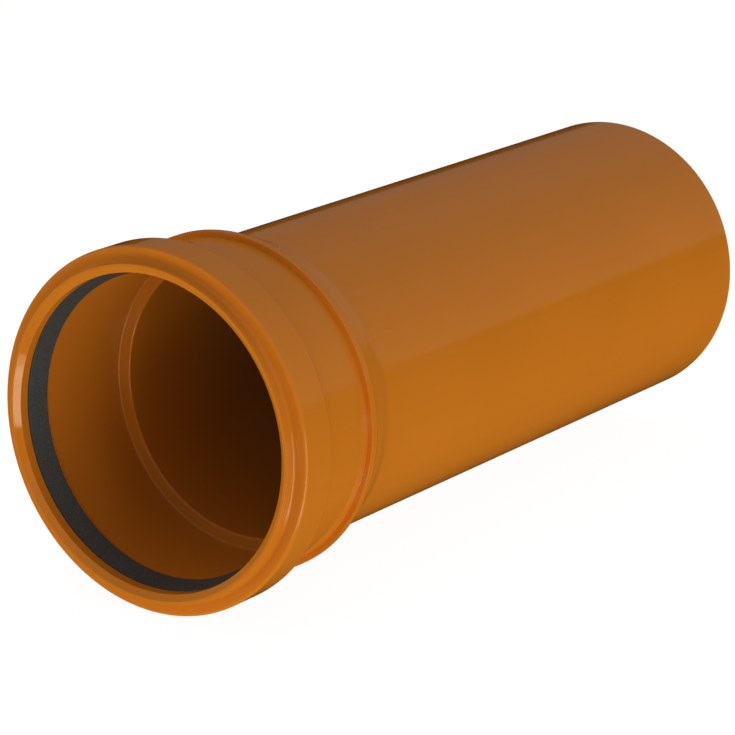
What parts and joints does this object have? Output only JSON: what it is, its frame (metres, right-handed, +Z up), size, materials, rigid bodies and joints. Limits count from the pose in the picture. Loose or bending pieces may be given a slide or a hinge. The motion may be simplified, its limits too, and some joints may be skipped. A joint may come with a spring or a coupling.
{
  "type": "polypropylene sewer pipe",
  "caption": "Smooth-wall orange-brown sewer pipe with a push-fit socket at one end, a beaded rim holding a black rubber lip seal, and a plain spigot at the other.",
  "frame": {"origin": "centre of the spigot's end face, on the pipe's axis", "axes": "+X along the pipe's axis, out of the spigot end; the socket's mouth faces -X; +Z up as it lies"},
  "size_m": [0.551, 0.2319, 0.232],
  "materials": {
    "orange_brown_polypropylene": "smooth extruded polypropylene, satin gloss",
    "black_seal_rubber": "matt, fine-grained"
  },
  "bodies": {
    "root": {"socketed_pipe": "orange_brown_polypropylene", "sealing_ring": "black_seal_rubber"}
  },
  "joints": []
}
